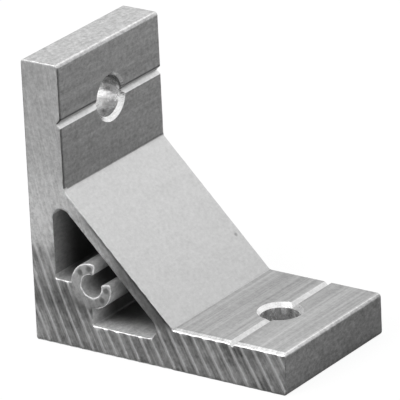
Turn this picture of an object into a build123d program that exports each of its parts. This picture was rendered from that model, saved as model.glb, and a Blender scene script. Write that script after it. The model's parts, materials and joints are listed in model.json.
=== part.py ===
from build123d import *
import math
import os

# T slot corner bracket, in one piece: a length sawn off an aluminium extrusion and drilled once
# through each leg. X runs along the foot, Z up the upright and Y along the extrusion. The origin
# is on the outer heel edge, midway between the two sawn ends.

# Legs, in millimetres
leg_length = 38.1  # outer heel edge to tip, the same on the foot and the upright
leg_thickness = 5.65
bracket_width = 22.2  # what the saw takes off the extrusion
tip_edge_radius = 0.5  # both long edges of each tip
heel_edge_radius = 0.3

# Bolt hole in each leg, on the groove that the die leaves as a drill line
bolt_hole_diameter = 6.4
tip_to_bolt = 7.9  # from a leg's tip to its bolt line
bolt_seat = 8.9  # from the bolt line to the gusset, room for the bolt's head
drill_line_width = 1.05  # mouth of the groove, a right-angled V

# Gusset, the slanting web between the legs
gusset_wall = 1.85
gusset_root_radius = 0.8  # where its outer face meets each leg

# Hollow behind the gusset
heel_wall = 3.6  # from a leg's outer face to the hollow
hollow_tip_radius = 1.45  # the two sharp corners, under the gusset's ends
hollow_corner_radius = 0.3  # the two corners beside the heel block

# Screw port, an open tube in the hollow on the corner of the solid heel block
port_bore_diameter = 3.1
port_wall = 1.5
port_to_gusset = 1.4  # clear space between the port and the gusset
port_gap_angle = 60  # leaves over three quarters of the bore's wall for a screw to bite in
port_lip_radius = 0.4

# Sawn ends
saw_edge_break = 0.12  # round the outside of both ends, out of the hollow
filed_width = 0.8  # flat filed along the top of the foot at the front end, to take the burr off
filed_depth = 0.2

# Where the parts of the section fall
bolt_line = leg_length - tip_to_bolt
gusset_root = bolt_line - bolt_seat
gusset_distance = (gusset_root + leg_thickness) / math.sqrt(2)  # heel edge to the outer face, square to it
hollow_reach = (gusset_distance - gusset_wall) * math.sqrt(2) - heel_wall
port_outer_radius = port_bore_diameter / 2 + port_wall
port_distance = gusset_distance - gusset_wall - port_to_gusset - port_outer_radius
heel_block = port_distance / math.sqrt(2)  # side of the solid square in the heel
gap_reach = (port_outer_radius + port_to_gusset / 2) / math.cos(math.radians(port_gap_angle / 2))

with BuildPart() as bracket:
    with BuildSketch(Plane.XZ) as section:
        # Both legs, with the gusset across the corner
        with BuildLine():
            Polyline(
                (0, 0),
                (leg_length, 0),
                (leg_length, leg_thickness),
                (gusset_root, leg_thickness),
                (leg_thickness, gusset_root),
                (leg_thickness, leg_length),
                (0, leg_length),
                close=True,
            )
        make_face()
        fillet(section.vertices().sort_by_distance((0, 0))[3:], tip_edge_radius)
        fillet(section.vertices().sort_by_distance((0, 0))[1:3], gusset_root_radius)
        fillet(section.vertices().sort_by_distance((0, 0))[:1], heel_edge_radius)

        # V groove along the inner face of each leg
        with Locations((bolt_line, leg_thickness), (leg_thickness, bolt_line)):
            Rectangle(drill_line_width / math.sqrt(2), drill_line_width / math.sqrt(2), 45, mode=Mode.SUBTRACT)

        # Hollow, square to the legs and parallel to the gusset
        with BuildLine():
            Polyline(
                (heel_wall, heel_wall),
                (hollow_reach, heel_wall),
                (heel_wall, hollow_reach),
                close=True,
            )
        make_face(mode=Mode.SUBTRACT)
        hollow_corners = section.vertices(Select.LAST).sort_by_distance((0, 0))
        fillet(hollow_corners[1:], hollow_tip_radius)

        # Heel block, which fills the hollow's square corner
        Rectangle(heel_block, heel_block, align=Align.MIN)
        block_corners = section.vertices().filter_by(
            lambda corner: math.isclose(min(corner.X, corner.Y), heel_wall, abs_tol=0.01)
            and math.isclose(max(corner.X, corner.Y), heel_block, abs_tol=0.01)
        )
        fillet(block_corners, hollow_corner_radius)

        # Screw port on the block's corner, open towards the gusset
        with Locations((heel_block, heel_block)):
            Circle(port_outer_radius)
            Circle(port_bore_diameter / 2, mode=Mode.SUBTRACT)
        with BuildLine():
            upper_side = PolarLine((heel_block, heel_block), gap_reach, 45 + port_gap_angle / 2)
            lower_side = PolarLine((heel_block, heel_block), gap_reach, 45 - port_gap_angle / 2)
            Line(upper_side @ 1, lower_side @ 1)
        make_face(mode=Mode.SUBTRACT)
        fillet(section.vertices(Select.LAST), port_lip_radius)
    extrude(amount=bracket_width / 2, both=True)
    sawn_ends = bracket.faces().filter_by(Axis.Y)
    chamfer([edge for end in sawn_ends for edge in end.outer_wire().edges()], saw_edge_break)

    # Bolt holes, each square through its leg from the inner face
    foot_seat = Plane((bolt_line, 0, leg_thickness))
    upright_seat = Plane((leg_thickness, 0, bolt_line), x_dir=(0, 1, 0), z_dir=(1, 0, 0))
    with Locations(foot_seat, upright_seat):
        Hole(bolt_hole_diameter / 2, depth=leg_thickness)

    # Flat filed along the foot's front edge, from the gusset to the tip
    with BuildSketch(Plane.YZ.offset(gusset_root)):
        with BuildLine():
            Polyline(
                (-bracket_width / 2, leg_thickness),
                (-bracket_width / 2 + filed_width, leg_thickness),
                (-bracket_width / 2, leg_thickness - filed_depth),
                close=True,
            )
        make_face()
    extrude(amount=leg_length - gusset_root, mode=Mode.SUBTRACT)
bracket.part.label = "bracket"

os.makedirs("parts", exist_ok=True)
export_step(bracket.part, "parts/bracket.step")
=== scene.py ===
import json
import math

import bmesh
import bpy
import numpy as np
from mathutils import Matrix, Vector, geometry


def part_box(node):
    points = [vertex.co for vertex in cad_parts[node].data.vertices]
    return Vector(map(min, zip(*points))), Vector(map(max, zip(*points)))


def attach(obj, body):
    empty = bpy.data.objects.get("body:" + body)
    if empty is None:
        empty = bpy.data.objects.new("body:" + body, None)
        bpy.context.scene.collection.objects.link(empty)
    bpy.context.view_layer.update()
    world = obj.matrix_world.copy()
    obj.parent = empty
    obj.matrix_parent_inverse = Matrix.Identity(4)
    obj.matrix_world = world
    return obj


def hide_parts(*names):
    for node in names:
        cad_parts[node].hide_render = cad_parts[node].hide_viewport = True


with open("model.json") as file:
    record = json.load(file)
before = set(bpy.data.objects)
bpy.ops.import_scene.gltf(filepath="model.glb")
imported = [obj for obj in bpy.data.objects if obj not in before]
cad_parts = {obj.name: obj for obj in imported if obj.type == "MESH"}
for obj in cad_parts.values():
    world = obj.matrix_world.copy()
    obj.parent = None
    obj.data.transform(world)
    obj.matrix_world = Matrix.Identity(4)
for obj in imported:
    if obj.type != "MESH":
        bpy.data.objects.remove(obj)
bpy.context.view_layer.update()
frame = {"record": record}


# ---- Camera ----------------------------------------------------------------------------------
# A long lens that looks down on the open end of the bracket, from the right of the sawn face, and
# leans a little.

look_at = Vector((0.01883, -0.00029, 0.01877))
camera_azimuth = math.radians(35.11)  # from straight in front of the sawn end, towards the foot's tip
camera_elevation = math.radians(21.81)
camera_lean = math.radians(-2.71)
camera_distance = 0.69765
lens_mm = 499.03

camera = bpy.data.objects.new("camera", bpy.data.cameras.new("camera"))
bpy.context.scene.collection.objects.link(camera)
bpy.context.scene.camera = camera
camera.data.lens = lens_mm
camera.data.sensor_width = 36
camera.data.clip_start = 0.05
turn = (
    Matrix.Rotation(camera_azimuth, 4, "Z")
    @ Matrix.Rotation(math.pi / 2 - camera_elevation, 4, "X")
    @ Matrix.Rotation(camera_lean, 4, "Z")
)
camera.matrix_world = Matrix.Translation(look_at + turn @ Vector((0, 0, camera_distance))) @ turn


# ---- Die section -----------------------------------------------------------------------------
# The bracket is a length of one extrusion. Its section is drawn here in millimetres, x along the
# foot and z up the upright, as two closed lines with the metal always on their left.

bracket_low, bracket_high = (np.array(corner) * 1000 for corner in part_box("bracket"))
leg_length = float(bracket_high[0])
front_end, rear_end = float(bracket_low[1]), float(bracket_high[1])
mounts = {mount["name"]: mount for mount in frame["record"]["mounts"]}
bolt_line = mounts["foot_bolt_hole"]["pos_m"][0] * 1000
bolt_radius = mounts["foot_bolt_hole"]["dims"]["r_mm"]
leg_thickness = mounts["foot_bolt_hole"]["dims"]["length_mm"]
port_centre = mounts["screw_port"]["pos_m"][0] * 1000  # x and z alike, on the heel block's corner
port_bore = mounts["screw_port"]["dims"]["r_mm"]
port_outside = port_bore + 1.5
port_gap = math.radians(60)
tip_round, heel_round, root_round = 0.5, 0.3, 0.8
gusset_root = 21.3
gusset_wall = 1.85
heel_wall = 3.6
hollow_reach = gusset_root + leg_thickness - gusset_wall * math.sqrt(2) - heel_wall
hollow_tip_round = 1.45
groove_half = 0.525  # half the mouth of the drill line's V, and its depth
point_spacing = 0.26  # of the points along the section


def rounded(corners, step=math.radians(10)):
    """Points of a closed line of (x, z, radius) corners, each turned into a run of short chords."""
    points = []
    for number, (x, z, radius) in enumerate(corners):
        corner = np.array((x, z), float)
        if radius == 0:
            points.append(corner)
            continue
        back = np.array(corners[number - 1][:2]) - corner
        ahead = np.array(corners[(number + 1) % len(corners)][:2]) - corner
        back /= np.linalg.norm(back)
        ahead /= np.linalg.norm(ahead)
        half = math.acos(float(np.clip(back @ ahead, -1, 1))) / 2
        middle = (back + ahead) / np.linalg.norm(back + ahead)
        centre = corner + middle * radius / math.sin(half)
        spoke = corner + back * radius / math.tan(half) - centre
        sweep = math.pi - 2 * half
        if back[0] * ahead[1] - back[1] * ahead[0] > 0:
            sweep = -sweep
        chords = max(3, math.ceil(abs(sweep) / step))
        for chord in range(chords + 1):
            turned = sweep * chord / chords
            cosine, sine = math.cos(turned), math.sin(turned)
            points.append(centre + (spoke[0] * cosine - spoke[1] * sine, spoke[0] * sine + spoke[1] * cosine))
    return np.array(points)


def divided(points, longest):
    """The same closed line with no chord longer than longest."""
    out = []
    for start, end in zip(points, np.roll(points, -1, axis=0)):
        parts = max(1, math.ceil(np.linalg.norm(end - start) / longest - 1e-6))
        out += [start + (end - start) * part / parts for part in range(parts)]
    return np.array(out)


def into_metal(points):
    """Mitred directions from a closed line's points into the metal on its left."""
    ahead = np.roll(points, -1, axis=0) - points
    ahead /= np.linalg.norm(ahead, axis=1)[:, None]
    left = np.stack((-ahead[:, 1], ahead[:, 0]), axis=1)
    before = np.roll(left, 1, axis=0)
    return (left + before) / np.maximum(1 + (left * before).sum(axis=1), 0.3)[:, None]


def on_port(radius, angle):
    """A point at an angle round the screw port, as a corner without a radius."""
    return (port_centre + radius * math.cos(angle), port_centre + radius * math.sin(angle), 0)


outline = rounded([
    (0, 0, heel_round),
    (leg_length, 0, tip_round),
    (leg_length, leg_thickness, tip_round),
    (bolt_line + groove_half, leg_thickness, 0),
    (bolt_line, leg_thickness - groove_half, 0),
    (bolt_line - groove_half, leg_thickness, 0),
    (gusset_root, leg_thickness, root_round),
    (leg_thickness, gusset_root, root_round),
    (leg_thickness, bolt_line - groove_half, 0),
    (leg_thickness - groove_half, bolt_line, 0),
    (leg_thickness, bolt_line + groove_half, 0),
    (leg_thickness, leg_length, tip_round),
    (0, leg_length, tip_round),
])
upper_lip = math.pi / 4 + port_gap / 2
lower_lip = math.pi / 4 - port_gap / 2
lip_round = 0.4
outside_turn = lip_round * 1.15 / port_outside  # where the lips' rounding starts on the port's outside
bore_turn = lip_round * 1.2 / port_bore
bore_from, bore_to = lower_lip - bore_turn, upper_lip + bore_turn - 2 * math.pi
hollow = rounded(
    [
        (heel_wall, port_centre, 0.3),
        (heel_wall, hollow_reach, hollow_tip_round),
        (hollow_reach, heel_wall, hollow_tip_round),
        (port_centre, heel_wall, 0.3),
    ]
    + [on_port(port_outside, angle) for angle in np.linspace(-math.pi / 2, lower_lip - outside_turn, 20)]
    + [on_port(port_outside, lower_lip)[:2] + (lip_round,), on_port(port_bore, lower_lip)[:2] + (lip_round,)]
    + [on_port(port_bore, angle) for angle in np.linspace(bore_from, bore_to, 44)]
    + [on_port(port_bore, upper_lip)[:2] + (lip_round,), on_port(port_outside, upper_lip)[:2] + (lip_round,)]
    + [on_port(port_outside, angle) for angle in np.linspace(upper_lip + outside_turn, math.pi, 20)]
)
outline = divided(outline, point_spacing)
hollow = divided(hollow, point_spacing)


# ---- Metal finishes --------------------------------------------------------------------------
# Bare aluminium throughout. The long faces are as the die left them, the ends are sawn, and the
# holes are drilled. Every finish is worked out from a place on the bracket in millimetres.

class Wire:
    """An output socket of a finish, for use in sums: an operator adds a Math node."""

    def __init__(self, finish, socket):
        self.finish = finish
        self.socket = socket

    def sum(self, operation, *terms, clamp=False):
        settings = {"operation": operation, "use_clamp": clamp}
        return self.finish.node("ShaderNodeMath", settings, dict(enumerate(terms)))

    def __add__(self, other):
        return self.sum("ADD", self, other)

    def __sub__(self, other):
        return self.sum("SUBTRACT", self, other)

    def __rsub__(self, other):
        return self.sum("SUBTRACT", other, self)

    def __mul__(self, other):
        return self.sum("MULTIPLY", self, other)

    def __truediv__(self, other):
        return self.sum("DIVIDE", self, other)

    def __pow__(self, other):
        return self.sum("POWER", self, other)

    def __lt__(self, other):
        return self.sum("LESS_THAN", self, other)

    def __gt__(self, other):
        return self.sum("GREATER_THAN", self, other)

    def __abs__(self):
        return self.sum("ABSOLUTE", self)

    __radd__ = __add__
    __rmul__ = __mul__

    def cut(self, low, high):
        """0 at low, 1 at high, smooth between."""
        settings = {"interpolation_type": "SMOOTHSTEP"}
        inputs = {"Value": self, "From Min": low, "From Max": high}
        return self.finish.node("ShaderNodeMapRange", settings, inputs)

    def cosine(self):
        return self.sum("COSINE", self)

    def held(self):
        """Kept between 0 and 1."""
        return self.sum("ADD", self, 0.0, clamp=True)

    def most(self, other):
        return self.sum("MAXIMUM", self, other)


class Finish:
    """A material on a Principled shader."""

    def __init__(self, name):
        self.material = bpy.data.materials.new(name)
        self.material.use_nodes = True
        self.tree = self.material.node_tree
        self.shader = self.tree.nodes["Principled BSDF"]
        self.shader.inputs["Metallic"].default_value = 1.0

    def node(self, kind, settings, inputs, output=0):
        node = self.tree.nodes.new(kind)
        for setting, value in settings.items():
            if setting == "stops":
                ramp = node.color_ramp
                while len(ramp.elements) < len(value):
                    ramp.elements.new(0.5)
                for element, (position, level) in zip(ramp.elements, value):
                    element.position = position
                    element.color = (level, level, level, 1)
            else:
                setattr(node, setting, value)
        for name, value in inputs.items():
            self.feed(node.inputs[name], value)
        return Wire(self, node.outputs[output])

    def feed(self, socket, value):
        if isinstance(value, Wire):
            self.tree.links.new(value.socket, socket)
        else:
            socket.default_value = value

    def place(self):
        """x, y and z on the bracket in millimetres, and the three as one vector."""
        coordinates = self.node("ShaderNodeTexCoord", {}, {}, "Object")
        scaled = self.node("ShaderNodeVectorMath", {"operation": "SCALE"}, {0: coordinates, "Scale": 1000.0})
        axes = self.tree.nodes.new("ShaderNodeSeparateXYZ")
        self.feed(axes.inputs[0], scaled)
        return [Wire(self, axes.outputs[k]) for k in range(3)] + [scaled]

    def vector(self, x, y, z):
        return self.node("ShaderNodeCombineXYZ", {}, {0: x, 1: y, 2: z})

    def noise(self, vector, scale, detail=2.0, rough=0.5):
        inputs = {"Vector": vector, "Scale": scale, "Detail": detail, "Roughness": rough}
        return self.node("ShaderNodeTexNoise", {}, inputs, "Fac")

    def grey(self, level):
        """A neutral colour from a level."""
        return self.node("ShaderNodeCombineColor", {}, {0: level, 1: level, 2: level})

    def bump(self, height, depth_mm):
        inputs = {"Height": height, "Distance": depth_mm / 1000, "Strength": 1.0}
        self.feed(self.shader.inputs["Normal"], self.node("ShaderNodeBump", {}, inputs))


def drawn_finish(name, tone, streaks, mottling, grit, roughness, shade, metal=1.0):
    """Aluminium as it left the die: fine lines along the extrusion, cloudiness and grit."""
    finish = Finish(name)
    finish.shader.inputs["Metallic"].default_value = metal
    x, y, z, place = finish.place()
    lines_at = finish.vector(x, y * 0.012, z)
    broad = finish.noise(lines_at, 1.1, 2.0)
    fine = finish.noise(lines_at, 5.5, 3.0)
    cloud = finish.noise(place, 0.55, 4.0, 0.6)
    grain = finish.noise(finish.vector(x, y * 0.7, z), 2.3, 5.0, 0.75)
    level = (
        1.0
        + (broad - 0.5) * (streaks * 1.1)
        + (fine - 0.5) * streaks
        + (cloud - 0.5) * mottling
        + (grain - 0.5) * grit
    )
    level = level * tone * shade(x, y, z)
    finish.feed(finish.shader.inputs["Base Color"], finish.grey(level))
    uneven = (roughness + (fine - 0.5) * 0.12 + (grain - 0.5) * 0.15).held()
    finish.feed(finish.shader.inputs["Roughness"], uneven)
    finish.bump(fine * 0.6 + grain * 0.4, 0.014)
    return finish.material


def upright_shade(x, y, z):
    """Painted light and shade: lighter upwards, with a painted shadow just over the V line and painted shade
    in a line along the front edge.
    """
    over_lip = z - (bolt_line + groove_half)
    # Painted shadow in a thin line over the V line's upper edge
    painted_groove_shadow = 1.0 - over_lip.cut(-0.06, 0.0) * (1.0 - over_lip.cut(0.18, 0.28)) * 0.6
    # Painted shade in a thin line along the front edge
    painted_edge_shade = 0.55 + (y - front_end).cut(0.15, 0.4) * 0.45
    return (0.62 + z * 0.0145 + y * 0.002) * painted_groove_shadow * painted_edge_shade


def foot_shade(x, y, z):
    """Painted light: lighter to the front, and a painted highlight on the narrow flat along the front edge.
    """
    return (1.0 - y * 0.007) * (2.1 - (y - front_end).cut(0.6, 0.8) * 1.1)


def hollow_shade(x, y, z):
    """Painted light and shade: dark deep inside and lighter towards both ends, darker on the upright's wall
    and lighter on the floor.
    """
    inwards = (y - front_end).cut(0.0, 5.5) * (rear_end - y).cut(0.0, 5.5)
    upright_wall = (x < heel_wall + 0.15) * (z > port_centre + 0.6)
    floor = z < heel_wall + 0.15
    return (1.6 - inwards * 1.35) * (1.0 - upright_wall * 0.5) * (1.0 + floor * 0.45)


def gusset_shade(x, y, z):
    """Lighter upwards as painted light, with one dark speck near the rear end."""
    off = ((y - 10.0) ** 2.0 + (z - 10.0) ** 2.0 * 2.0) ** 0.5
    return (0.82 + z * 0.0078) * (0.6 + off.cut(0.1, 0.4) * 0.4)


def outside_shade(x, y, z):
    """Painted light: lighter to the front in the lower half, which takes in the foot's tip."""
    return 1.0 - (z < 20.0) * y * 0.013


def groove_shade(x, y, z):
    """Painted shade on the upper side of the upright's V line."""
    return 1.0 - (z > bolt_line) * 0.7


# Tone, streaks, mottling, grit, roughness, shade and how metallic
finishes = [
    drawn_finish("drawn_gusset", 0.63, 0.05, 0.16, 0.55, 0.42, gusset_shade),
    drawn_finish("drawn_foot", 0.375, 0.75, 0.3, 1.0, 0.4, foot_shade),
    drawn_finish("drawn_upright", 0.56, 0.35, 0.4, 1.5, 0.38, upright_shade),
    drawn_finish("drawn_outside", 0.51, 0.25, 0.3, 1.9, 0.38, outside_shade),
    drawn_finish("drawn_hollow", 0.38, 0.3, 0.5, 1.2, 0.5, hollow_shade, 0.5),
    drawn_finish("drawn_groove", 0.7, 0.1, 0.2, 0.8, 0.35, groove_shade),
]
gusset_face, foot_face, upright_face, outer_face, hollow_face, groove_face = range(6)
bore_face, chamfer_face, sawn_face = 6, 7, 8  # made further on, with the holes and the sawn ends


# ---- Drawn skin ------------------------------------------------------------------------------
# The long faces, in rows from the front sawn end to the rear one. Both ends' edges are broken to
# a small round, and the front edge of the foot's top has a narrow sloping flat as well.

edge_break = 0.13
hollow_break = 0.11
filed_width, filed_depth = 0.8, 0.2
skin = bmesh.new()
seed = np.random.RandomState(41)


def wavy(length, runs, rng):
    """A smooth random line round a closed loop, about 0 and mostly within 1."""
    turns = np.linspace(0, 2 * math.pi, length, endpoint=False)
    total = np.zeros(length)
    for _ in range(runs):
        total += np.sin(turns * rng.randint(8, 90) + rng.uniform(0, 2 * math.pi)) / math.sqrt(runs / 2)
    return total


def filed_height(y):
    """Height of the foot's top, which is less where the flat is taken off."""
    return leg_thickness - filed_depth * np.maximum(0, 1 - (y - front_end) / filed_width)


def filed(points, y):
    """Section points at a depth y, with the flat taken off the foot's top."""
    height = filed_height(y)
    out = points.copy()
    on_foot = (points[:, 0] > gusset_root - 0.05) & (points[:, 1] > height)
    out[on_foot, 1] = height
    return out


rows = np.unique(np.round(np.concatenate((
    [front_end + edge_break, front_end + 0.25, front_end + 0.4, front_end + 0.6, front_end + filed_width],
    np.linspace(front_end + 1.1, rear_end - 0.6, 21),
    [rear_end - 0.3, rear_end - edge_break],
)), 4))

points_made = {}


def point(x, y, z):
    """The skin's vertex at a place in millimetres, shared by every face that meets there."""
    key = (round(x * 4000), round(y * 4000), round(z * 4000))
    if key not in points_made:
        points_made[key] = skin.verts.new((x / 1000, y / 1000, z / 1000))
    return points_made[key]


def face(corners, finish):
    """One face over vertices, unless they run together."""
    corners = list(dict.fromkeys(corners))
    if len(corners) > 2 and skin.faces.get(corners) is None:
        skin.faces.new(corners).material_index = finish


def skin_finish(start, end):
    """Which finish a run of the outline takes."""
    x, z = (start + end) / 2
    if (abs(x - bolt_line) < groove_half and z > 1) or (abs(z - bolt_line) < groove_half and x > 1):
        return groove_face
    if abs(x + z - gusset_root - leg_thickness) < 0.12:
        return gusset_face
    if z > leg_thickness - 0.9 and leg_thickness < x < leg_length - 0.3:
        return foot_face
    if x > leg_thickness - 0.9 and leg_thickness < z < leg_length - 0.3:
        return upright_face
    return outer_face


# Where the saw's passes lie, in shares of the leg's length. Along the foot, pass n starts at
# first_pass + pass_spacing * n + pass_growth * n * n. On its way up it leans over, and bends back.
first_pass, pass_spacing, pass_growth = 0.054, 0.0447, 0.00013
pass_lean, lean_growth, pass_bend = 0.42, 0.17, 0.14


def saw_depth(x, z, end):
    """How far the saw went below its highest ridges, at places on a sawn end."""
    across, up = np.asarray(x) / leg_length, np.asarray(z) / leg_length
    start = across + (pass_lean + lean_growth * across) * up - pass_bend * up**2
    root = np.sqrt(np.maximum(pass_spacing**2 + 4 * pass_growth * (start - first_pass), 1e-9))
    number = (-pass_spacing + root) / (2 * pass_growth)
    ridge = np.abs(np.cos(math.pi * number)) ** 8
    rough_part = 1 - np.clip((up - 0.30) / 0.07, 0, 1)
    faint_part = 0.22 * (1 - np.clip((up - 0.5) / 0.14, 0, 1))
    past_upright = np.clip((np.asarray(x) - leg_thickness + 0.4) / 1.2, 0, 1)
    past_foot = np.clip((np.asarray(z) - leg_thickness + 0.4) / 1.2, 0, 1)
    off_gusset = 1 - past_upright * past_foot
    strength = np.maximum(rough_part, faint_part) * (0.15 + 0.85 * off_gusset)
    if end:
        strength = np.full_like(strength, 0.6)
    # A trough of 0.024 mm between the passes and a ridge of 0.026 mm at each, about a level of 0.03
    return 0.03 + strength * (0.024 - 0.05 * ridge)


def rows_of(points, break_size, wave, unevenness):
    """The line's points at each row, with the broken edges' rows at both ends."""
    lines = []
    for end, y_end, inwards in ((0, front_end, 1), (1, rear_end, -1)):
        flat = filed(points, y_end) if end == 0 else points
        metal = into_metal(flat)
        size = break_size * np.clip(1 + unevenness * wave, 0.4, 2.0)
        ring = []
        for angle in (0, 30, 60):
            cosine, sine = math.cos(math.radians(angle)), math.sin(math.radians(angle))
            moved = flat + metal * (size * (1 - sine))[:, None]
            depth = saw_depth(moved[:, 0], moved[:, 1], end) * cosine + break_size * (1 - cosine)
            ring.append(np.column_stack((moved[:, 0], y_end + inwards * depth, moved[:, 1])))
        lines.append(ring)
    middle = []
    for y in rows:
        moved = filed(points, y)
        middle.append(np.column_stack((moved[:, 0], np.full(len(points), y), moved[:, 1])))
    return lines[0] + middle + lines[1][::-1]


outer_rows = rows_of(outline, edge_break, wavy(len(outline), 9, seed), 0.12)
inner_rows = rows_of(hollow, hollow_break, wavy(len(hollow), 9, seed), 0.5)


def on_leg_face(start, end):
    """The drilled flat that a run of the outline belongs to: 0 the foot's top, 1 its underside,
    2 the upright's inner face, 3 its back, or None."""
    flat_from, flat_to = gusset_root + 0.9, leg_length - tip_round - 0.01
    for flat, (along, height) in enumerate(((0, 1), (1, 0))):
        middle = (start + end) / 2
        if flat_from < min(start[along], end[along]) and max(start[along], end[along]) < flat_to + 0.02:
            if middle[height] > leg_thickness - groove_half - 0.01:
                return 2 * flat
            if middle[height] < 0.01:
                return 2 * flat + 1
    return None


def strip_face(lines, row, number, after, finish):
    """One face between two rows of points, from a point to the one after."""
    near, far = lines[row], lines[row + 1]
    corners = (near[number], near[after], far[after], far[number])
    face([point(*corner) for corner in corners], finish)


# Between these rows the drilled flats are left open, and are filled in with their holes
first_row, last_row = 3, len(outer_rows) - 4
leg_runs = {0: [], 1: [], 2: [], 3: []}
for number in range(len(outline)):
    after = (number + 1) % len(outline)
    which = on_leg_face(outline[number], outline[after])
    if which is not None:
        leg_runs[which].append(number)
    for row in range(len(outer_rows) - 1):
        if which is None or not first_row <= row < last_row:
            strip_face(outer_rows, row, number, after, skin_finish(outline[number], outline[after]))
for number in range(len(hollow)):
    after = (number + 1) % len(hollow)
    for row in range(len(inner_rows) - 1):
        on_port_rim = math.hypot(*(hollow[number] - port_centre)) < port_outside + 0.05
        sawn_rim = row < 2 and not on_port_rim
        strip_face(inner_rows, row, number, after, sawn_face if sawn_rim else hollow_face)


# ---- Bolt holes ------------------------------------------------------------------------------
# One drilled through each leg, where the drill started in the V line. The drill leaves rings
# round the wall, and the mouth in the leg's inner face has a bright turned chamfer.

rim_break = 0.08
hole_steps = 96
chamfer_depth = 0.56


class Drilled:
    """A leg's hole, placed from where the bolt line crosses the leg's middle."""

    def __init__(self, mouth_radius, mouth_at, bore_radius, bore_at):
        self.mouth_radius, self.mouth_at = mouth_radius, np.array(mouth_at)
        self.bore_radius, self.bore_at = bore_radius, np.array(bore_at)


# Radius and place of the mouth, then of the bore. The foot's hole is a little off the bolt line,
# and narrower than the upright's.
drilled = {
    0: Drilled(bolt_radius - 0.22, (-0.22, 0.25), bolt_radius - 0.68, (-0.2, 0.1)),
    2: Drilled(bolt_radius, (0.0, 0.0), bolt_radius - chamfer_depth, (0.0, 0.0)),
}


def drill_shade(x, y, z):
    """A painted dark reflection in a line along the edge of the upright's bore, over the middle."""
    off = (y ** 2.0 + (z - bolt_line) ** 2.0) ** 0.5
    edge = bolt_radius - chamfer_depth
    line = off.cut(edge - 0.06, edge) * (1.0 - off.cut(edge + 0.12, edge + 0.22))
    return 1.0 - line * (z - bolt_line).cut(0.2, 0.9) * (y + 0.6).cut(0.0, 0.8) * 0.75


def bored_finish(name, tone, rings_contrast, fleck_contrast, roughness, metal, shade):
    """Aluminium cut by a drill: rings round the hole, and flecks of light and dark."""
    finish = Finish(name)
    finish.shader.inputs["Metallic"].default_value = metal
    x, y, z, place = finish.place()
    rings = finish.noise(finish.vector(x * 3.2, y * 0.35, z * 3.2), 1.6, 3.0)
    fleck = finish.noise(finish.vector(x, y, z * 0.6), 0.9, 4.0, 0.65)
    marks = 1.0 + (fleck - 0.5) * fleck_contrast + (rings - 0.5) * rings_contrast
    level = tone * marks * shade(x, y, z)
    finish.feed(finish.shader.inputs["Base Color"], finish.grey(level))
    finish.feed(finish.shader.inputs["Roughness"], (roughness + (fleck - 0.5) * 0.2).held())
    finish.bump(rings, 0.04)
    return finish.material


finishes.append(bored_finish("drilled_wall", 0.6, 1.3, 3.0, 0.26, 0.7, drill_shade))
finishes.append(bored_finish("turned_chamfer", 0.84, 0.5, 0.6, 0.26, 1.0, drill_shade))


def inside(points, loops):
    """Whether places lie in the metal between closed lines."""
    crossings = np.zeros(len(points), int)
    for loop in loops:
        x1, z1 = loop[:, 0], loop[:, 1]
        x2, z2 = np.roll(x1, -1), np.roll(z1, -1)
        for part in range(0, len(points), 4000):
            px, pz = points[part:part + 4000, 0][:, None], points[part:part + 4000, 1][:, None]
            spans = (z1 > pz) != (z2 > pz)
            with np.errstate(divide="ignore", invalid="ignore"):
                left = px < (x2 - x1) * (pz - z1) / (z2 - z1) + x1
            crossings[part:part + 4000] += (spans & left).sum(axis=1)
    return crossings % 2 == 1


def clear_of(points, loops, distance):
    """Whether places are further than distance from every chord of closed lines."""
    clear = np.ones(len(points), bool)
    for loop in loops:
        ends = np.roll(loop, -1, axis=0)
        run = ends - loop
        length = np.maximum((run**2).sum(axis=1), 1e-12)
        for part in range(0, len(points), 2000):
            offset = points[part:part + 2000][:, None, :] - loop[None]
            share = np.clip((offset * run).sum(axis=2) / length, 0, 1)
            gap = offset - share[..., None] * run
            clear[part:part + 2000] &= ((gap**2).sum(axis=2) > distance**2).all(axis=1)
    return clear


def filled(loops, free, lines=()):
    """Triangles over the metal between closed lines, through free points and along lines."""
    points = [tuple(p) for loop in loops for p in loop] + [tuple(p) for p in free]
    edges = []
    start = 0
    for loop in loops:
        edges += [(start + k, start + (k + 1) % len(loop)) for k in range(len(loop))]
        start += len(loop)
    where = {(round(p[0], 4), round(p[1], 4)): k for k, p in enumerate(points)}
    for line in lines:
        chain = []
        for p in line:
            key = (round(p[0], 4), round(p[1], 4))
            if key not in where:
                where[key] = len(points)
                points.append(tuple(p))
            chain.append(where[key])
        edges += list(zip(chain, chain[1:]))
    made = geometry.delaunay_2d_cdt([Vector(p) for p in points], edges, [], 0, 1e-5)
    places = np.array([tuple(p) for p in made[0]])
    triangles = np.array(made[2])
    keep = inside(places[triangles].mean(axis=1), loops)
    # Places that came in keep the accuracy they came with
    for number, sources in enumerate(made[3]):
        if sources:
            places[number] = points[sources[0]]
    return places, triangles[keep]


def leg_height(along, y, flat):
    """Height of a leg's face over its outer face, at places along and across it."""
    if flat % 2:
        return np.zeros_like(along)
    height = leg_thickness - np.maximum(0, groove_half - np.abs(along - bolt_line))
    if flat == 0:
        height = np.minimum(height, filed_height(y))
    return height


def on_leg(along, y, height, flat):
    """A place on a leg as x, y and z."""
    return (along, y, height) if flat < 2 else (height, y, along)


def crossing(start, direction, leg):
    """Where the chamfer comes up to a leg's inner face, along directions from starts."""
    hole = drilled[leg]
    near, far = np.zeros(len(direction)), np.full(len(direction), hole.mouth_radius + 1.5)
    for _ in range(50):
        middle = (near + far) / 2
        at = start + direction * middle[:, None]
        off_axis = np.hypot(*(at - hole.mouth_at).T)
        under = leg_height(bolt_line + at[:, 0], at[:, 1], leg) > leg_thickness - hole.mouth_radius + off_axis
        near, far = np.where(under, middle, near), np.where(under, far, middle)
    return start + direction * near[:, None]


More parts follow.
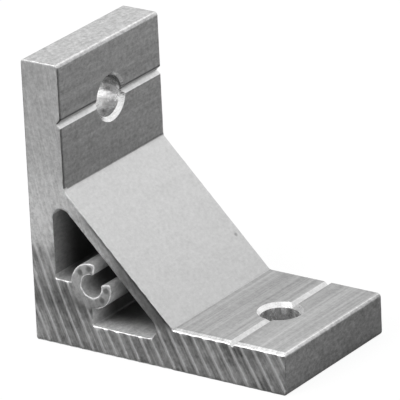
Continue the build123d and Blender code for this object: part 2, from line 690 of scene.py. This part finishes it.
groove_lines = np.array([-groove_half, 0.0, groove_half])
for leg, hole in drilled.items():
    starts = np.repeat(np.column_stack((groove_lines, np.zeros(3))), 2, axis=0)
    hole.line_ends = crossing(starts, np.tile([(0.0, -1.0), (0.0, 1.0)], (3, 1)), leg)
    at_lines = np.arctan2(hole.line_ends[:, 1], hole.line_ends[:, 0])
    angles = np.linspace(-math.pi, math.pi, hole_steps, endpoint=False) + 0.001
    angles = angles[np.abs(angles[:, None] - at_lines).min(axis=1) > 0.012]
    angles = np.sort(np.concatenate((angles, at_lines)))
    hole.spokes = np.column_stack((np.cos(angles), np.sin(angles)))
    hole.rim = crossing(np.zeros_like(hole.spokes), hole.spokes, leg)
    for number, angle in enumerate(at_lines):
        hole.rim[np.argmin(np.abs(angles - angle))] = hole.line_ends[number]
    hole.outer_rim = hole.bore_at + hole.spokes * (hole.bore_radius + rim_break)


def flat_place(row, number, axis):
    """A point of the skin's rows as a place along a leg and across it."""
    return (outer_rows[row][number][axis], outer_rows[row][number][1])


for flat, runs in leg_runs.items():
    hole = drilled[flat // 2 * 2]
    axis = 0 if flat < 2 else 2
    ends = {n for run in runs for n in (run, (run + 1) % len(outline))}
    ends = sorted(ends, key=lambda n: outer_rows[5][n][axis])
    between = range(first_row + 1, last_row)
    near = [flat_place(first_row, n, axis) for n in ends]
    far = [flat_place(last_row, n, axis) for n in ends]
    right = [flat_place(row, ends[-1], axis) for row in between]
    left = [flat_place(row, ends[0], axis) for row in between]
    border = np.array(near + right + far[::-1] + left[::-1])
    rim = (hole.outer_rim if flat % 2 else hole.rim) + (bolt_line, 0)
    ring_radius = np.hypot(rim[:, 0] - bolt_line, rim[:, 1]).max()
    columns = np.linspace(border[0, 0] + 0.3, border[len(near) - 1, 0] - 0.3, 40)
    column, depth = np.meshgrid(columns, rows[1:-1])
    grid = np.column_stack((column.ravel(), depth.ravel()))
    grid = grid[np.hypot(grid[:, 0] - bolt_line, grid[:, 1]) > ring_radius + 0.75]
    free = [grid]
    for radius in (0.12, 0.3, 0.6):
        turns = np.linspace(0, 2 * math.pi, 60, endpoint=False) + radius
        free.append(np.column_stack((
            bolt_line + (ring_radius + radius) * np.cos(turns), (ring_radius + radius) * np.sin(turns),
        )))
    free = np.concatenate(free)
    lines = []
    if flat % 2 == 0:
        off_lines = np.min([np.abs(free[:, 0] - bolt_line - offset) for offset in groove_lines], axis=0)
        free = free[off_lines > 0.08]
        for offset, (_, first), (_, last) in zip(groove_lines, hole.line_ends[::2], hole.line_ends[1::2]):
            before = [y for y in rows if y < first - 0.15]
            after = [y for y in rows if y > last + 0.15]
            lines.append([(bolt_line + offset, y) for y in before + [first]])
            lines.append([(bolt_line + offset, y) for y in [last] + after])
    places, triangles = filled([border, rim], free, lines)
    heights = leg_height(places[:, 0], places[:, 1], flat)
    finish = (foot_face, outer_face, upright_face, outer_face)[flat]
    made = [point(*on_leg(p[0], p[1], h, flat)) for p, h in zip(places, heights)]
    for corners in triangles:
        in_groove = flat % 2 == 0 and abs(places[corners, 0].mean() - bolt_line) < groove_half
        face([made[k] for k in corners], groove_face if in_groove else finish)

for leg, hole in drilled.items():
    bore = hole.bore_at + hole.spokes * hole.bore_radius
    rim_height = leg_height(bolt_line + hole.rim[:, 0], hole.rim[:, 1], leg)
    bore_top = leg_thickness - chamfer_depth
    level = np.ones(len(bore))
    levels = []
    for share in (0, 0.06, 0.3, 0.6, 0.94, 1):
        around = hole.rim * (1 - share) + bore * share
        levels.append((around, rim_height * (1 - share) + bore_top * share))
    chamfer_levels = len(levels) - 1
    for share in np.linspace(0, 1, 14)[1:]:
        levels.append((bore, level * (bore_top * (1 - share) + rim_break * share)))
    for angle in (60, 30, 0):
        turned = math.radians(angle)
        around = hole.bore_at + hole.spokes * (hole.bore_radius + rim_break * (1 - math.sin(turned)))
        levels.append((around, level * (rim_break * (1 - math.cos(turned)))))
    rings = [
        [point(*on_leg(bolt_line + at[0], at[1], h, leg)) for at, h in zip(around, heights)]
        for around, heights in levels
    ]
    for number, (upper, lower) in enumerate(zip(rings, rings[1:])):
        finish = chamfer_face if number < chamfer_levels else bore_face
        for k in range(len(bore)):
            after = (k + 1) % len(bore)
            face([upper[k], upper[after], lower[after], lower[k]], finish)


# ---- Sawn ends -------------------------------------------------------------------------------
# Each end is as the saw left it, with curved ridges where the blade's teeth passed. On the front
# end the ridges are strong low down, and the rest came out smooth.

pit_turns = (-90, -50, 50, 90)  # pits on the port's arms, in degrees from the middle of its mouth


def spot(x, z, middle_x, middle_z, radius, change):
    """A factor for the tone: 1 away from a round spot on an end, and 1 + change inside it."""
    off = ((x - middle_x) ** 2.0 + (z - middle_z) ** 2.0) ** 0.5
    return 1.0 + (1.0 - off.cut(radius * 0.3, radius)) * change


def sawn_finish():
    """Aluminium cut by a saw: a painted highlight on the crest along each pass, scratches along them, and
    marks with painted light and shade.
    """
    finish = Finish("sawn_end")
    x, y, z, place = finish.place()
    across, up = x / leg_length, z / leg_length
    start = across + (pass_lean + lean_growth * across) * up - pass_bend * (up * up)
    root = (pass_spacing**2 + 4 * pass_growth * (start - first_pass)) ** 0.5
    number = (root - pass_spacing) / (2 * pass_growth)
    scratch = finish.noise(finish.vector(number, 0.0, up * 1.5), 5.0, 4.0, 0.65)
    uneven = finish.noise(finish.vector(number * 0.5, 0.0, up * 4.0), 1.0, 3.0, 0.6)
    cloud = finish.noise(place, 0.3, 4.0, 0.6)
    grain = finish.noise(place, 2.2, 5.0, 0.75)
    smooth = up.cut(0.30, 0.37)
    on_web = (x - leg_thickness).cut(-0.4, 0.8) * (z - leg_thickness).cut(-0.4, 0.8)
    coarse = (1.0 - smooth) * (1.0 - on_web * 0.85)
    # Painted highlight: a bright line on the crest of each pass
    painted_crest_highlight = abs((number * math.pi).cosine()) ** 14.0
    # Height up the upright, as a share of it, and tone there
    stops = [(0.1, 0.69), (0.15, 0.43), (0.25, 0.66), (0.4, 0.74), (0.5, 0.74), (0.65, 0.56), (0.95, 0.48)]
    shade = finish.node("ShaderNodeValToRGB", {"stops": stops}, {"Fac": up})
    # The gusset's end is darker towards its outer edge
    web_depth = ((gusset_root + leg_thickness) - x - z) / math.sqrt(2)
    web_shade = 0.24 + web_depth.cut(0.2, 0.7) * 0.36 + web_depth.cut(0.9, 1.9) * 0.35
    from_port = ((x - port_centre) ** 2.0 + (z - port_centre) ** 2.0) ** 0.5
    on_port_wall = 1.0 - from_port.cut(port_outside - 0.1, port_outside + 0.3)
    # On the front end, by tone only: a painted highlight on a burr at the foot of the heel block, a
    # painted highlight on a nick in the back edge, and painted shade in pits on the port's arms
    marks = spot(x, z, port_centre + 0.5, heel_wall + 0.3, 1.0, 1.4) * spot(x, z, 0.3, port_centre, 0.5, 1.8)
    for pit_turn in pit_turns:
        pit_x, pit_z, _ = on_port((port_bore + port_outside) / 2, math.radians(45 + pit_turn))
        marks = marks * spot(x, z, pit_x, pit_z, 0.6, -0.6)
    marks = 1.0 + (marks - 1.0) * (y < 0.0)
    scratches = (scratch - 0.5) * (0.7 + coarse)
    clouds = (cloud - 0.5) * (0.3 + coarse * 1.5)
    painted_crest_highlights = (painted_crest_highlight * (0.6 + uneven * 1.1) - 0.12) * coarse
    level = (
        (1.0 + smooth * 0.24)
        * shade
        * (1.0 - on_web * (1.0 - web_shade) * (1.0 - z.cut(16.5, 20.5) * 0.8))
        * (1.0 + on_port_wall * 0.55)
        * marks
        * (1.0 + scratches + clouds + (grain - 0.5) + painted_crest_highlights)
    )
    finish.feed(finish.shader.inputs["Base Color"], finish.grey(level))
    roughness = (0.38 + smooth * 0.1 + (grain - 0.5) * 0.15).held()
    finish.feed(finish.shader.inputs["Roughness"], roughness)
    finish.bump(scratch * 0.7 + grain * 0.3, 0.025)
    return finish.material


finishes.append(sawn_finish())

# Points lie close together on each pass's ridge and further apart beside it, in shares of a pass
offsets = (-0.42, -0.28, -0.18, -0.12, -0.07, -0.03, 0.0, 0.03, 0.07, 0.12, 0.18, 0.28, 0.42)
heights = np.arange(0.004, 1.0, 0.0095)
lean_guess = 0.437

for end in (0, 1):
    outer = outer_rows[0 if end == 0 else -1][:, [0, 2]]
    inner = inner_rows[0 if end == 0 else -1][:, [0, 2]]
    pass_lines = []
    for number in range(-2, 40):
        for offset in offsets:
            n = number + offset
            start = first_pass + pass_spacing * n + pass_growth * n * n
            across = start - lean_guess * heights
            for _ in range(6):
                across = start - (pass_lean + lean_growth * across) * heights + pass_bend * heights**2
            pass_lines.append(np.column_stack((across, heights)) * leg_length)
    free = np.concatenate(pass_lines)
    free = free[inside(free, [outer, inner])]
    free = free[clear_of(free, [outer, inner], 0.1)]
    places, triangles = filled([outer, inner], free)
    depths = saw_depth(places[:, 0], places[:, 1], end)
    y = front_end + depths if end == 0 else rear_end - depths
    made = [point(x, depth, z) for (x, z), depth in zip(places, y)]
    for corners in triangles:
        face([made[k] for k in corners], sawn_face)

bmesh.ops.remove_doubles(skin, verts=skin.verts, dist=2e-7)
bmesh.ops.recalc_face_normals(skin, faces=skin.faces)
mesh = bpy.data.meshes.new("corner_bracket")
skin.to_mesh(mesh)
skin.free()
for finish in finishes:
    mesh.materials.append(finish)
mesh.shade_smooth()
mesh.set_sharp_from_angle(angle=math.radians(32))
bracket = bpy.data.objects.new("corner_bracket", mesh)
bpy.context.scene.collection.objects.link(bracket)
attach(bracket, "root")
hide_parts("bracket")


# ---- Table and light -------------------------------------------------------------------------
# The bracket stands on a plain white table in a white tent. Dull cards lie in front of it and to
# its right, and one hangs by the camera, to darken what would only mirror the table and the tent.

def stage_sheet(name, corners, material):
    mesh = bpy.data.meshes.new(name)
    mesh.from_pydata(corners, [], [(0, 1, 2, 3)])
    mesh.materials.append(material)
    sheet = bpy.data.objects.new(name, mesh)
    bpy.context.scene.collection.objects.link(sheet)
    return sheet


def lying(low, high, height):
    """Corners of a level sheet."""
    (left, front), (right, back) = low, high
    return [(left, front, height), (right, front, height), (right, back, height), (left, back, height)]


def facing(centre, target, half):
    """Corners of a square sheet that faces a target."""
    away = (Vector(centre) - Vector(target)).normalized()
    side = Vector((0, 0, 1)).cross(away).normalized() * half
    rise = away.cross(side.normalized()) * half
    return [Vector(centre) + side * a + rise * b for a, b in ((-1, -1), (1, -1), (1, 1), (-1, 1))]


def seen_white(finish):
    """1 for rays from the camera, a mirror or glass."""
    path = finish.tree.nodes.new("ShaderNodeLightPath")
    seen = Wire(finish, path.outputs["Is Camera Ray"])
    for output in ("Is Glossy Ray", "Is Transmission Ray"):
        seen = seen.most(Wire(finish, path.outputs[output]))
    return seen


table_white = Finish("table_white")
paper = table_white.node("ShaderNodeBsdfDiffuse", {}, {"Color": (0.95, 0.95, 0.95, 1)})
white = table_white.node("ShaderNodeEmission", {}, {"Color": (1, 1, 1, 1), "Strength": 1.0})
mixed = table_white.node("ShaderNodeMixShader", {}, {0: seen_white(table_white) * 0.9, 1: paper, 2: white})
table_white.feed(table_white.tree.nodes["Material Output"].inputs["Surface"], mixed)
table_height = -0.00002  # under the bracket by a hair, so that the two don't share a plane
stage_sheet("table", lying((-3, -3), (3, 3), table_height), table_white.material)


def card_finish(name, level):
    """A dull card of one grey."""
    finish = Finish(name)
    finish.shader.inputs["Metallic"].default_value = 0.0
    finish.shader.inputs["Base Color"].default_value = (level, level, level, 1)
    finish.shader.inputs["Roughness"].default_value = 0.9
    return finish.material


black_card = card_finish("black_card", 0.03)
grey_card = card_finish("grey_card", 0.16)
card_height = 0.00005
bracket_front = -0.0111
for name, corners, material in (
    ("front_card", lying((-0.6, -0.7), (0.7, bracket_front), card_height), black_card),
    ("right_card", lying((0.021, bracket_front), (0.7, 0.7), card_height), grey_card),
    ("camera_card", facing((0.47, -0.7, 0.52), look_at, 0.26), black_card),
):
    card = stage_sheet(name, corners, material)
    card.visible_camera = False
    card.visible_shadow = False
    card.visible_diffuse = False

world = bpy.data.worlds.new("tent")
bpy.context.scene.world = world
world.use_nodes = True
world.node_tree.nodes["Background"].inputs["Color"].default_value = (1, 1, 1, 1)
world.node_tree.nodes["Background"].inputs["Strength"].default_value = 1.0


def soft_lamp(name, place, width, height, watts):
    """A square-cornered lamp that faces the bracket's middle."""
    lamp = bpy.data.objects.new(name, bpy.data.lights.new(name, "AREA"))
    lamp.data.shape = "RECTANGLE"
    lamp.data.size, lamp.data.size_y = width, height
    lamp.data.energy = watts
    lamp.location = place
    lamp.rotation_euler = (bracket_middle - Vector(place)).to_track_quat("-Z", "Y").to_euler()
    bpy.context.scene.collection.objects.link(lamp)


bracket_middle = Vector((0.019, 0, 0.019))
soft_lamp("key", (-0.12, -0.45, 0.45), 0.25, 0.25, 1.2)
soft_lamp("front_lamp", (-0.34, -0.52, 0.12), 0.6, 0.35, 1.5)
soft_lamp("back_lamp", (-0.08, 0.6, 0.52), 0.4, 0.4, 0.6)

bpy.context.scene.view_settings.view_transform = "Standard"
